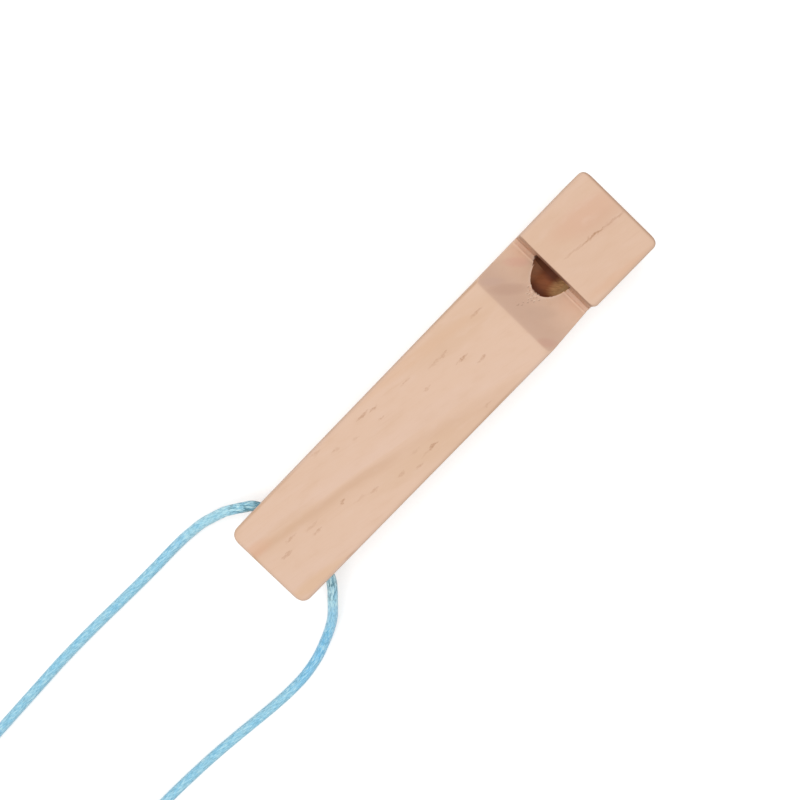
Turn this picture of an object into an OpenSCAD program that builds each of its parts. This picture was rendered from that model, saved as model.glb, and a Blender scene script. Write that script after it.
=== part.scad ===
// Wooden bird whistle on a satin neck cord, lying on its back with the window up.
// X runs along the body towards the mouth end, Y to its left side, Z up from the resting face.

/* [Body] */
// Length of the wooden body along its grain
body_len = 98; // [92:0.5:110]
// Width of the body from side to side
body_w = 20; // [18:0.5:22]
// Thickness of the body from its resting face to its top face
body_h = 18; // [17:0.5:20]
// Radius of the sanded long edges and of the edges round both ends
edge_r = 0.9; // [0.5:0.1:1.4]
// Radius of the four upright corners, seen from above
corner_r = 1.8; // [1.2:0.1:3]

/* [Bore and window] */
// Diameter of the blind bore drilled in from the mouth end
bore_d = 9; // [8:0.1:9.8]
// Depth of the bore's axis under the top face
bore_down = 8.5; // [8:0.1:9]
// Solid wood left between the bore's flat bottom and the tail end
tail_block = 16; // [12:0.5:24]
// Length of the mouthpiece, from the mouth end to the notch's upright wall
mouth_len = 17.3; // [14:0.1:22]
// Length of the notch along the body, from its wall to the top of its ramp
notch_len = 12; // [10:0.1:14]
// Depth of the ramp's foot below the top face
notch_depth = 6.5; // [6:0.1:7]
// Width of the saw cut between the wall and the ramp's foot
kerf_w = 0.9; // [0.6:0.1:1.8]
// How much deeper than the ramp's foot the saw cut goes
kerf_extra = 0.4; // [0.2:0.1:1.4]

/* [Fipple plug] */
// Width of the windway, a flat slot over the plug
windway_w = 8.4; // [6:0.1:9]
// Height of the windway over the plug's flat
windway_h = 1.6; // [1:0.1:2]
// How much the flat takes off the plug's top
plug_flat = 0.7; // [0.4:0.1:1.5]
// Glue line between the plug and the bore
plug_gap = 0.05; // [0.02:0.01:0.1]
// Distance from the notch's wall to the plug's inner end
plug_recess = 1.5; // [0.5:0.1:3]

/* [Cord] */
// Diameter of the satin cord
cord_d = 2.2; // [1.8:0.1:2.4]
// Diameter of the cord hole across the tail
cord_hole_d = 4; // [3.8:0.1:5]
// Distance from the tail end to the cord hole's axis
cord_hole_inset = 6; // [5:0.1:8]

/* [Stored coil] */
// Radius of the coil's outermost turn, at the middle of the cord
coil_r = 16; // [15:0.5:19]
// Turns in the coil, half of them in each of its two layers
coil_turns = 7.5; // [5.5:1:8.5]
// Space between neighbouring turns and between the layers
coil_gap = 0.5; // [0.45:0.05:0.7]
// Width of the tape that ties the coil
tie_w = 3; // [2:0.5:5]
// Thickness of the tape
tie_t = 0.6; // [0.4:0.1:1]
// Space between the tape and the cord
tie_gap = 0.5; // [0.4:0.1:0.8]
// Radius of the tape's turned corners, inside
tie_r = 0.8; // [0.4:0.1:1.2]

/* [Knot] */
// Length of the knot along the cord, two beads of wound cord side by side
knot_len = 9; // [8:0.5:12]
// Diameter of the knot
knot_d = 6.4; // [6.2:0.1:8]
// Radius of the beads' shoulders
knot_r = 0.9; // [0.5:0.1:0.9]
// Space between the strand and the cut end beside it where they leave the knot
strand_gap = 0.3; // [0.2:0.1:0.4]
// Length of the two cut ends that stand out of the knot
end_len = 7; // [4:0.5:9]

/* [Hidden] */
$fn = 48;

// How far a cutting shape reaches past the face that it cuts
over = 1;
cord_sides = 8;
coil_sides = 6;
coil_rings = 24;

mouth_x = body_len / 2;
tail_x = -body_len / 2;
wall_x = mouth_x - mouth_len;
ramp_x = wall_x - notch_len;
notch_z = body_h - notch_depth;
kerf_z = notch_z - kerf_extra;
bore_z = body_h - bore_down;
flat_z = bore_z + bore_d / 2 - plug_flat;
hole_x = tail_x + cord_hole_inset;
hole_z = body_h / 2;

// The cord is measured from the cord hole's axis, along the body and up from the resting face.
lying_z = cord_d / 2;
knot_at = [-86, -19];
strand_off = (cord_d + strand_gap) / 2;
knot_z = knot_d / 2;

// Left strand: out of the hole, down to the table, back past the tail and on to the coil
left_route = [
    [0, 0, hole_z], [0, 4, hole_z], [0, 7.5, hole_z], [0, 8.9, hole_z], [-0.3, 10, 8.9],
    [-1.1, 11, 8.7], [-2.35, 11.8, 8.4], [-4, 12.85, 7.9], [-6.4, 14.1, 6.8], [-9.3, 15, 5.2],
    [-12.3, 15.8, 3.5], [-15.3, 16.2, 2.1], [-18.4, 16.5, 1.3], [-22.5, 16.6, lying_z], [-27, 16.6, lying_z],
    [-33, 16.7, lying_z], [-39, 16.9, lying_z], [-45, 17.1, lying_z], [-51, 17.2, lying_z],
    [-57, 17.2, lying_z], [-63, 17, lying_z], [-69, 16.8, lying_z], [-75, 16.6, lying_z],
    [-81, 16.4, lying_z], [-87, 16.3, lying_z], [-93, 16.4, lying_z], [-99, 16.5, lying_z],
    [-105, 16.5, lying_z], [-111, 16.5, lying_z]
];

// Right strand: out of the hole, down to the table and back to the knot
right_route = [
    [0, 0, hole_z], [0, -4, hole_z], [0, -8, hole_z], [-0.05, -9.7, hole_z], [-0.6, -11.2, 8.8],
    [-2, -12.9, 8.2], [-4.3, -15, 6.9], [-7.3, -17.5, 4.8], [-10.5, -19.3, 2.9], [-13.8, -20.7, 1.5],
    [-17.3, -21.9, lying_z], [-22, -22.7, lying_z], [-27, -22.8, lying_z], [-32, -22.5, lying_z],
    [-37, -22, lying_z], [-43, -21.4, lying_z], [-49, -20.9, lying_z], [-55, -20.6, lying_z],
    [-61, -20.4, 1.2], [-67, -20.3, 1.9], [-73, -20.2, 2.7],
    [knot_at.x + knot_len / 2 + 2 * cord_d, knot_at.y - strand_off, knot_z],
    [knot_at.x + knot_len / 2, knot_at.y - strand_off, knot_z]
];

// Coil: two layers that spiral in and out again, starting where the left strand ends
coil_pitch = cord_d + coil_gap;
tie_lift = tie_t + tie_gap;
coil_start = left_route[len(left_route) - 1];
coil_at = [coil_start.x - cord_d, coil_start.y - coil_r];
coil_route = concat(
    [coil_start],
    [for (i = [0:coil_turns * coil_rings]) coil_point(i / coil_rings)],
    [coil_point(coil_turns) + [cord_d, 0, 0]]
);
coil_end = coil_route[len(coil_route) - 1];

// Tail: from the coil's upper layer to the other side of the knot
tail_route = [
    coil_end, coil_end + [cord_d, 0, 0], [-102, -16, 3.6], [-98, -16.9, 3.4], [-95.5, -17.4, 3.3],
    [knot_at.x - knot_len / 2 - cord_d, knot_at.y + strand_off, knot_z],
    [knot_at.x - knot_len / 2, knot_at.y + strand_off, knot_z]
];

// Bundle of turns that the tape goes round, where the coil is furthest from the body
tie_turn = 0.25;
bundle_out = coil_r - coil_pitch * tie_turn + cord_d / 2;
bundle_in = coil_r - coil_pitch * (floor(coil_turns / 2 - tie_turn) + tie_turn) - cord_d / 2;
tie_window = [bundle_out - bundle_in + 2 * tie_gap, cord_d + coil_pitch + 2 * tie_gap];

echo(str("least gap of the coil to itself: ", self_gap(coil_route), " mm"));
echo(str("cord outside the knot: ", run_length(left_route) + run_length(right_route)
    + run_length(coil_route) + run_length(tail_route), " mm"));

function unit(v) = v / norm(v);
function ease(t) = let (c = min(max(t, 0), 1)) c * c * (3 - 2 * c);

// Centre of the coiled cord after t turns: it climbs a layer in the middle half turn,
// and lies on the tape where that passes under it
function coil_point(t) = let (
    angle = 90 + 360 * t,
    r = coil_r - coil_pitch * min(t, coil_turns - t),
    climb = ease(2 * (t - coil_turns / 2) + 0.5),
    rise = pow(max(0, -cos(angle)), 2)
) [
    coil_at.x + r * cos(angle),
    coil_at.y + r * sin(angle),
    lying_z + coil_pitch * climb + tie_lift * rise
];

// Least distance between cord centres half a turn or more apart, less the cord's diameter
function self_gap(route) = min([
    for (i = [0:len(route) - 1])
        for (j = [i + coil_rings / 2:1:len(route) - 1]) norm(route[i] - route[j])
]) - cord_d;

function run_length(route, i = 1) =
    i < len(route) ? norm(route[i] - route[i - 1]) + run_length(route, i + 1) : 0;

// Direction of a route at one of its points
function heading(route, i) =
    unit(route[min(i + 1, len(route) - 1)] - route[max(i - 1, 0)]);

// Ring of points round a route's point, square to its direction
function ring(centre, along, r, sides) = let (
    across = unit(cross(along, [0, 0, 1])),
    up = cross(across, along)
) [for (i = [0:sides - 1]) centre + r * (cos(360 * i / sides) * across + sin(360 * i / sides) * up)];

// Closed tube of flat triangles along a route
module tube(route, d, sides) {
    last = len(route) - 1;
    points = [for (i = [0:last]) each ring(route[i], heading(route, i), d / 2, sides)];
    walls = [
        for (i = [0:last - 1], j = [0:sides - 1])
            let (a = i * sides + j, b = i * sides + (j + 1) % sides)
                each [[a, b, b + sides], [a, b + sides, a + sides]]
    ];
    first_cap = [for (j = [1:sides - 2]) [0, j + 1, j]];
    last_cap = [for (j = [1:sides - 2]) [last * sides, last * sides + j, last * sides + j + 1]];
    polyhedron(points, concat(walls, first_cap, last_cap));
}

// Centred rectangle with round corners
module rounded_rect(size, r) {
    square([size.x - 2 * r, size.y], center = true);
    square([size.x, size.y - 2 * r], center = true);
    for (sx = [-1, 1], sy = [-1, 1])
        translate([sx * (size.x / 2 - r), sy * (size.y / 2 - r)]) circle(r = r);
}

// Centred block with every edge rounded: its three outlines, extruded across each other
module rounded_block(size, r, upright_r) {
    intersection() {
        linear_extrude(size.z + 2 * over, center = true) rounded_rect([size.x, size.y], upright_r);
        rotate([90, 0, 0])
            linear_extrude(size.y + 2 * over, center = true) rounded_rect([size.x, size.z], r);
        rotate([90, 0, 90])
            linear_extrude(size.x + 2 * over, center = true) rounded_rect([size.y, size.z], r);
    }
}

// Side outline of the notch: upright wall, saw cut, ramp up through the top face
module notch_cut() {
    past = over * (notch_len - kerf_w) / notch_depth;
    rotate([90, 0, 0]) linear_extrude(body_w + 2 * over, center = true) polygon([
        [wall_x, body_h + over], [ramp_x - past, body_h + over],
        [wall_x - kerf_w, notch_z], [wall_x - kerf_w, kerf_z], [wall_x, kerf_z]
    ]);
}

module whistle_body() {
    color("#e1bfa6") difference() {
        translate([0, 0, body_h / 2]) rounded_block([body_len, body_w, body_h], edge_r, corner_r);
        translate([tail_x + tail_block, 0, bore_z]) rotate([0, 90, 0])
            cylinder(d = bore_d, h = body_len - tail_block + over);
        translate([hole_x, 0, hole_z]) rotate([90, 0, 0])
            cylinder(d = cord_hole_d, h = body_w + 2 * over, center = true);
        notch_cut();
        translate([wall_x - kerf_w, -windway_w / 2, flat_z])
            cube([mouth_len + kerf_w + over, windway_w, windway_h]);
        translate([wall_x - kerf_w, -windway_w / 2, bore_z])
            cube([kerf_w + plug_recess, windway_w, flat_z + windway_h - bore_z]);
    }
}

// Dowel with a flat, glued into the mouth end: the flat is level with the windway's floor
module fipple_plug() {
    color("#d8b48c") intersection() {
        translate([wall_x + plug_recess, 0, bore_z]) rotate([0, 90, 0])
            cylinder(d = bore_d - 2 * plug_gap, h = mouth_len - plug_recess);
        translate([wall_x, -body_w / 2, 0]) cube([mouth_len + over, body_w, flat_z]);
    }
}

module cord_left() {
    color("#a5d0e2") translate([hole_x, 0, 0]) tube(left_route, cord_d, cord_sides);
}

module cord_right() {
    color("#a5d0e2") translate([hole_x, 0, 0]) tube(right_route, cord_d, cord_sides);
}

module cord_coil() {
    color("#a5d0e2") translate([hole_x, 0, 0]) tube(coil_route, cord_d, coil_sides);
}

module cord_tail() {
    color("#a5d0e2") translate([hole_x, 0, 0]) tube(tail_route, cord_d, cord_sides);
}

// Round bead that stands on its flat end, with both shoulders turned round
module bead(h, d, r) {
    rotate_extrude() {
        square([d / 2 - r, h]);
        translate([0, r]) square([d / 2, h - 2 * r]);
        for (y = [r, h - r]) translate([d / 2 - r, y]) circle(r = r);
    }
}

// Knot that joins the two strands: each half holds the other's strand, and its own cut end stands out
module cord_knot() {
    color("#a5d0e2") translate([hole_x + knot_at.x, knot_at.y, knot_z])
        for (side = [-1, 1]) rotate([0, 90 * side, 0]) {
            bead(knot_len / 2, knot_d, knot_r);
            translate([0, side * strand_off, 0]) cylinder(d = cord_d, h = knot_len / 2 + end_len);
        }
}

module coil_tie() {
    color("#f0ead8")
        translate([
            hole_x + coil_at.x - (bundle_in + bundle_out) / 2, coil_at.y, tie_t + tie_window.y / 2
        ])
            rotate([90, 0, 0]) linear_extrude(tie_w, center = true) difference() {
                rounded_rect([tie_window.x + 2 * tie_t, tie_window.y + 2 * tie_t], tie_r + tie_t);
                rounded_rect(tie_window, tie_r);
            }
}

whistle_body();
fipple_plug();
cord_left();
cord_right();
cord_coil();
cord_tail();
cord_knot();
coil_tie();
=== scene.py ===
import math
import bmesh
import bpy
import numpy as np
from mathutils import Matrix, Vector


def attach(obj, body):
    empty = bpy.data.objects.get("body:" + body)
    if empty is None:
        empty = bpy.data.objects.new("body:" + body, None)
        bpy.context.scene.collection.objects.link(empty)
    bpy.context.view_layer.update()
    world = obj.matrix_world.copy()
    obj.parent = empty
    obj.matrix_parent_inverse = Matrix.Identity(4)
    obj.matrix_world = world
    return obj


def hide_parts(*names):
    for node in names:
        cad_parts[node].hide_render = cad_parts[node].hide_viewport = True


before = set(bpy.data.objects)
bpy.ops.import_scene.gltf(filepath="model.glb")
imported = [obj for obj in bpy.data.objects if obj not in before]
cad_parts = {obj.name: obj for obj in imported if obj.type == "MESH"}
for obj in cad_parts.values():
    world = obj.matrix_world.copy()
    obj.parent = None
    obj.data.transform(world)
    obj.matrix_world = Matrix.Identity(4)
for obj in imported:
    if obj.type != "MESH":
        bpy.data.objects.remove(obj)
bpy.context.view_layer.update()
mm = 0.001
print("frame:", ", ".join(sorted(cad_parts)))


# colours are written as they look on screen, 0 to 255, and used as light
def paint(colour):
    shown = np.array(colour) / 255
    light = np.where(shown <= 0.04045, shown / 12.92, ((shown + 0.055) / 1.055) ** 2.4)
    return (*light.tolist(), 1.0)


# one socket of a node; sums and products of wires add Math nodes
class Wire:
    def __init__(self, nodes, socket):
        self.nodes = nodes
        self.socket = socket

    def math(self, operation, *others):
        values = dict(enumerate((self, *others)))
        return self.nodes.add("ShaderNodeMath", {"operation": operation}, values)

    def __add__(self, other):
        return self.math("ADD", other)

    def __sub__(self, other):
        return self.math("SUBTRACT", other)

    def __rsub__(self, other):
        return self.nodes.add("ShaderNodeMath", {"operation": "SUBTRACT"}, {0: other, 1: self})

    def __mul__(self, other):
        return self.math("MULTIPLY", other)

    def __truediv__(self, other):
        return self.math("DIVIDE", other)

    def __pow__(self, other):
        return self.math("POWER", other)

    def __abs__(self):
        return self.math("ABSOLUTE")

    __radd__ = __add__
    __rmul__ = __mul__


# a node tree that is filled by one method for any kind of node
class Nodes:
    def __init__(self, owner):
        owner.use_nodes = True
        self.owner = owner
        self.tree = owner.node_tree
        self.tree.nodes.clear()

    def add(self, kind, settings=None, values=None, out=0):
        node = self.tree.nodes.new(kind)
        for key, value in (settings or {}).items():
            if key == "stops":
                self.fillRamp(node.color_ramp, value)
            else:
                setattr(node, key, value)
        for key, value in (values or {}).items():
            if isinstance(value, Wire):
                self.tree.links.new(value.socket, node.inputs[key])
            else:
                node.inputs[key].default_value = value
        return Wire(self, node.outputs[out]) if len(node.outputs) else None

    def fillRamp(self, ramp, stops):
        while len(ramp.elements) < len(stops):
            ramp.elements.new(0.5)
        for element, (position, colour) in zip(ramp.elements, stops):
            element.position = position
            element.color = colour

    # colour a where share is 0, colour b where it is 1
    def mix(self, share, a, b):
        settings = {"data_type": "RGBA", "blend_type": "MIX", "clamp_factor": True}
        return self.add("ShaderNodeMix", settings, {0: share, 6: a, 7: b}, 2)

    # named colours laid over a base one after another, each by its share
    def coats(self, base, colours, layers):
        for share, name in layers:
            base = self.mix(share, base, paint(colours[name]))
        return base

    # smooth rise from 0 at low to 1 at high, or a fall where low is the larger
    def rise(self, value, low, high):
        settings = {"interpolation_type": "SMOOTHSTEP"}
        if low < high:
            return self.add("ShaderNodeMapRange", settings, {0: value, 1: low, 2: high})
        return 1 - self.add("ShaderNodeMapRange", settings, {0: value, 1: high, 2: low})

    def vector(self, x, y, z):
        return self.add("ShaderNodeCombineXYZ", None, {0: x, 1: y, 2: z})

    def split(self, vector):
        node = self.add("ShaderNodeSeparateXYZ", None, {0: vector}).socket.node
        return [Wire(self, socket) for socket in node.outputs]

    # the frame's own coordinates in millimetres
    def place(self):
        metres = self.add("ShaderNodeTexCoord", None, None, "Object")
        values = {0: metres, "Scale": 1 / mm}
        return self.split(self.add("ShaderNodeVectorMath", {"operation": "SCALE"}, values))

    # how far the surface faces along each axis, from -1 to 1
    def facing(self):
        return self.split(self.add("ShaderNodeNewGeometry", None, None, "Normal"))

    # noise from 0 to 1, about 0.5
    def noise(self, vector, scale, detail=2.0, rough=0.5):
        values = {"Vector": vector, "Scale": scale, "Detail": detail, "Roughness": rough}
        return self.add("ShaderNodeTexNoise", None, values, "Fac")

    def noiseAt(self, x, y, z, detail=2.0, rough=0.5):
        return self.noise(self.vector(x, y, z), 1.0, detail, rough)

    def bump(self, height, strength, relief):
        values = {"Strength": strength, "Distance": relief, "Height": height}
        return self.add("ShaderNodeBump", None, values, "Normal")

    # 1 on a ray of any of these kinds
    def seenBy(self, first, *others):
        seen = self.add("ShaderNodeLightPath", None, None, first)
        for ray in others:
            seen = seen.math("MAXIMUM", self.add("ShaderNodeLightPath", None, None, ray))
        return seen

    def finish(self, values):
        shader = self.add("ShaderNodeBsdfPrincipled", None, values)
        self.add("ShaderNodeOutputMaterial", None, {"Surface": shader})
        return self.owner


def newObject(name, data):
    thing = bpy.data.objects.new(name, data)
    bpy.context.scene.collection.objects.link(thing)
    return thing


shot = {
    "eye": (8.885, 10.968, 205.514),  # mm, over the notch and a little to the body's left
    "aim": (-6.456, 4.497, 18.0),     # mm, middle of the picture on the top face
    "up": 43.959,                     # degrees from +X towards +Y of the picture's upward side
    "lens": 44.07,                    # mm on a 36 mm sensor
    "nearest": 0.01,                  # m
}


def setCamera():
    eye = Vector(shot["eye"]) * mm
    back = (eye - Vector(shot["aim"]) * mm).normalized()
    turn = math.radians(shot["up"])
    right = Vector((math.cos(turn), math.sin(turn), 0)).cross(back).normalized()
    above = back.cross(right)
    lens = bpy.data.cameras.new("photo camera")
    lens.lens = shot["lens"]
    lens.clip_start = shot["nearest"]
    camera = newObject("photo camera", lens)
    camera.matrix_world = Matrix((
        (right.x, above.x, back.x, eye.x),
        (right.y, above.y, back.y, eye.y),
        (right.z, above.z, back.z, eye.z),
        (0, 0, 0, 1),
    ))
    bpy.context.scene.camera = camera


setCamera()
print("camera set")

studio = {
    "ambient": 0.40,               # light from all round
    "lamp": 0.667,                 # light on a level surface from the soft lamp
    "lampFrom": (0.0, 0.10, 1.0),  # direction to the lamp
    "lampAway": 0.80,              # m
    "lampSize": 0.70,              # m
    "floor": (0.80, 0.80, 0.80, 1),
    "floorLift": 0.40,             # light that the floor shows and that no matt surface gets
    "floorReach": 4.0,             # m to each side
    "floorLow": -0.00003,          # m, just under the resting face
}


def setWorld():
    world = bpy.data.worlds.new("studio")
    bpy.context.scene.world = world
    sky = Nodes(world)
    light = sky.add("ShaderNodeBackground", None, {0: (1, 1, 1, 1), 1: studio["ambient"]})
    white = sky.add("ShaderNodeBackground", None, {0: (1, 1, 1, 1), 1: 1.0})
    seen = sky.seenBy("Is Camera Ray", "Is Transmission Ray")
    both = sky.add("ShaderNodeMixShader", None, {0: seen, 1: light, 2: white})
    sky.add("ShaderNodeOutputWorld", None, {0: both})


def hangLamp():
    data = bpy.data.lights.new("soft lamp", "AREA")
    data.shape = "DISK"
    data.size = studio["lampSize"]
    data.energy = studio["lamp"] * math.pi ** 2 * studio["lampAway"] ** 2
    lamp = newObject("soft lamp", data)
    towards = Vector(studio["lampFrom"]).normalized()
    lamp.location = towards * studio["lampAway"]
    lamp.rotation_euler = towards.to_track_quat("Z", "Y").to_euler()


def layFloor():
    reach, low = studio["floorReach"], studio["floorLow"]
    corners = [(-reach, -reach, low), (reach, -reach, low), (reach, reach, low), (-reach, reach, low)]
    plane = bpy.data.meshes.new("floor")
    plane.from_pydata(corners, [], [(0, 1, 2, 3)])
    floor = newObject("floor", plane)
    ground = Nodes(bpy.data.materials.new("pale floor"))
    matt = ground.add("ShaderNodeBsdfDiffuse", None, {0: studio["floor"]})
    glow = ground.add("ShaderNodeEmission", None, {0: (1, 1, 1, 1), 1: studio["floorLift"]})
    none = ground.add("ShaderNodeEmission", None, {0: (0, 0, 0, 1), 1: 0.0})
    seen = ground.seenBy("Is Camera Ray", "Is Glossy Ray", "Is Transmission Ray")
    extra = ground.add("ShaderNodeMixShader", None, {0: seen, 1: none, 2: glow})
    total = ground.add("ShaderNodeAddShader", None, {0: matt, 1: extra})
    ground.add("ShaderNodeOutputMaterial", None, {0: total})
    plane.materials.append(ground.owner)


bpy.context.scene.view_settings.view_transform = "Standard"
setWorld()
hangLamp()
layFloor()
print("studio lit")


def unit(v):
    return v / np.linalg.norm(v, axis=-1, keepdims=True)


# 0 to 1 with a soft start and end
def eased(t):
    c = np.clip(t, 0, 1)
    return c * c * (3 - 2 * c)


# length of the line up to each of its points
def runAlong(line):
    return np.r_[0, np.cumsum(np.linalg.norm(np.diff(line, axis=0), axis=1))]


# the same line with so many points at even steps
def evenly(line, count):
    run = runAlong(line)
    even = np.linspace(0, run[-1], count)
    return np.stack([np.interp(even, run, column) for column in line.T], 1)


# line through the points, each span a cubic with the slope of its neighbours, at even steps
def smoothLine(points, step):
    p = np.asarray(points, float)
    wide = np.vstack([2 * p[0] - p[1], p, 2 * p[-1] - p[-2]])
    a, b, c, d = (wide[i:len(p) - 1 + i, None] for i in range(4))
    t = np.linspace(0, 1, 24, endpoint=False)[None, :, None]
    bend = (2 * a - 5 * b + 4 * c - d) * t ** 2 + (3 * b - a - 3 * c + d) * t ** 3
    line = np.vstack([(b + 0.5 * ((c - a) * t + bend)).reshape(-1, 3), p[-1:]])
    return evenly(line, int(runAlong(line)[-1] / step) + 1)


# ring(i, a) = line(i) + radius(i) * (cos a * across + sin a * above), square to the line
def tubeRings(line, radius, sides, level=(0, 0, 1)):
    along = unit(np.gradient(line, axis=0))
    across = unit(np.cross(along, level))
    above = np.cross(across, along)
    a = 2 * np.pi * np.arange(sides) / sides
    reach = np.broadcast_to(radius, len(line))[:, None, None]
    rim = np.cos(a)[None, :, None] * across[:, None] + np.sin(a)[None, :, None] * above[:, None]
    return line[:, None] + reach * rim


# radius that closes to a dome over the last stretch at each end
def domed(run, radius, first, last):
    start = np.clip(run / first, 0.02, 1)
    end = np.clip((run[-1] - run) / last, 0.02, 1)
    return radius * np.sqrt(1 - (1 - start) ** 2) * np.sqrt(1 - (1 - end) ** 2)


# tubes of rings joined as one mesh, with a fan over each end and a map of
# turns round the tube and millimetres along it
def tubeMesh(name, tubes):
    points, faces, corners = [], [], []
    first = 0
    for rings in tubes:
        n, m = rings.shape[:2]
        run = runAlong(rings.mean(1))
        points.append(np.vstack([rings.reshape(-1, 3), rings[0].mean(0), rings[-1].mean(0)]))
        i, j = np.meshgrid(np.arange(n - 1), np.arange(m), indexing="ij")
        k = (j + 1) % m
        walls = np.stack([i * m + j, (i + 1) * m + j, (i + 1) * m + k, i * m + k], -1).reshape(-1, 4)
        u = np.stack([j, j, j + 1, j + 1], -1).reshape(-1, 4) / m
        v = np.stack([run[i], run[i + 1], run[i + 1], run[i]], -1).reshape(-1, 4)
        faces += (walls + first).tolist()
        corners.append(np.stack([u, v], -1).reshape(-1, 2))
        j = np.arange(m)
        k = (j + 1) % m
        for centre, ring, at in ((n * m, 0, 0), (n * m + 1, (n - 1) * m, run[-1])):
            fan = [ring + j, ring + k] if ring == 0 else [ring + k, ring + j]
            faces += (np.stack([np.full(m, centre), *fan], -1) + first).tolist()
            u = np.stack([j + 0.5, j, j + 1] if ring == 0 else [j + 0.5, j + 1, j], -1) / m
            corners.append(np.stack([u, np.full((m, 3), at)], -1).reshape(-1, 2))
        first += len(points[-1])
    mesh = bpy.data.meshes.new(name)
    mesh.from_pydata((np.vstack(points) * mm).tolist(), [], faces)
    mesh.uv_layers.new(name="round and along")
    mesh.uv_layers[0].data.foreach_set("uv", np.vstack(corners).astype(np.float32).ravel())
    mesh.polygons.foreach_set("use_smooth", np.ones(len(mesh.polygons), bool))
    mesh.update()
    return mesh


def addPiece(name, mesh, material, slot, *nodes):
    piece = newObject(name, mesh)
    mesh.materials.append(material)
    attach(piece, "root")
    if nodes:
        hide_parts(*nodes)
    return piece


satin = {
    "thread": (160, 220, 242),
    "groove": (94, 161, 194),
    "glint": (214, 250, 255),
    "deep": (134, 211, 247),
    "pale": (184, 228, 240),
    "dark": (66, 126, 148),
    # thread colour along each strand, with painted light and shade: mm from the hole's middle and
    # colour; darker by the hole on the left strand, much lighter by the hole on the right one, where
    # the body shades it
    "leftTones": [
        (10, (148, 212, 234)), (13, (160, 222, 244)), (15, (182, 238, 255)),
        (28, (180, 236, 255)), (32, (156, 218, 248)), (40, (158, 220, 246)),
    ],
    "rightTones": [
        (10, (202, 244, 255)), (16, (194, 242, 255)), (19, (168, 226, 255)), (24, (148, 218, 252)),
        (28, (132, 208, 250)), (36, (132, 208, 250)), (44, (158, 220, 246)),
    ],
    "columns": 8,       # pairs of stitch columns round the cord
    "stitch": 1.7,      # mm along the cord from stitch to stitch
    "slant": 1.3,       # mm along the cord that a stitch leans over its column
    "calm": 19.0,       # mm from the hole's middle where the stitches have sunk into the sheen
    "tight": 12.5,      # and where they stand out, pulled tight over the rim
    "rim": 10.2,        # and where the cord is dark with the hole's shade
    "rimFade": 0.9,     # mm over which that shade ends
    "relief": 0.00010,  # m
}


# stitches lean left and right in turn, as a row of chevrons along the cord:
# stitch = along / pitch + slant * fold(columns * round)
def satinFinish(name, tones=None):
    cloth = Nodes(bpy.data.materials.new(name))
    u, v = cloth.split(cloth.add("ShaderNodeTexCoord", None, None, "UV"))[:2]
    turn = u * satin["columns"]
    fold = abs(turn.math("FRACT") * 2 - 1)
    stitch = v / satin["stitch"] + fold * (satin["slant"] / satin["stitch"])
    offCentre = abs(stitch.math("FRACT") * 2 - 1)
    valley = abs(fold * 2 - 1)
    seam = cloth.rise(valley, 0.60, 1.0) * 0.7
    groove = cloth.rise(offCentre, 0.50, 0.98).math("MAXIMUM", seam)
    thread, tight = paint(satin["thread"]), 0.0
    # with tones the thread's colour runs along the strand and holds its painted light and shade
    if tones:
        far = tones[-1][0]
        stops = [(along / far, paint(colour)) for along, colour in tones]
        thread = cloth.add("ShaderNodeValToRGB", {"stops": stops}, {0: v / far})
        tight = cloth.rise(v, satin["calm"], satin["tight"])
    fibre = cloth.noiseAt(u * 30, v * 0.8, 0, 3.0, 0.6)
    patch = cloth.noiseAt(u * 4, v * 0.22, 0)
    knit = cloth.noiseAt(u * 16 + v * 0.3, v * 0.62, 3, 2.0, 0.6)
    layers = [
        (cloth.rise(fibre, 0.42, 0.72) * (0.45 + tight * 0.4), "glint"),
        (cloth.rise(patch, 0.50, 0.68) * 0.50, "deep"),
        (cloth.rise(patch, 0.46, 0.30) * 0.35, "pale"),
        (groove * (0.30 + tight * 0.3), "groove"),
        (cloth.rise(knit, 0.50, 0.60) * (0.24 + tight * 0.52), "dark"),
        (cloth.rise(knit, 0.46, 0.36) * (0.50 + tight * 0.40), "glint"),
    ]
    if tones:
        rim = satin["rim"]
        layers.append((cloth.rise(v, rim + satin["rimFade"], rim) * 0.55, "dark"))
    height = (1 - offCentre * offCentre) * 0.6 + (1 - valley * valley) * 0.5 + fibre * 0.3
    return cloth.finish({
        "Base Color": cloth.coats(thread, satin, layers),
        "Roughness": 0.30 + groove * 0.25,
        "Normal": cloth.bump(height, 0.6, satin["relief"]),
        "Sheen Weight": 0.05,
        "Sheen Roughness": 0.4,
        "Specular IOR Level": 0.6,
    })


cord = {
    "radius": 1.1,
    "sides": 18,
    "step": 0.5,       # mm between rings
    "holeX": -43.0,
    "holeZ": 9.0,
    "exitY": 10.0,     # mm from the hole's middle to the body's side
    "lying": 1.1,
    "coilAt": (-113.2, 0.5),
    "coilRadius": 16.0,
    "coilTurns": 7.5,
    "coilPitch": 2.7,
    "turnPoints": 24,
    "tapeLift": 0.45,  # the turns ride over the tape that ties them
    "knotAt": (-86.0, -19.0, 3.2),
    "strandApart": 1.25,
    "knotHalf": 4.5,
}

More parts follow.
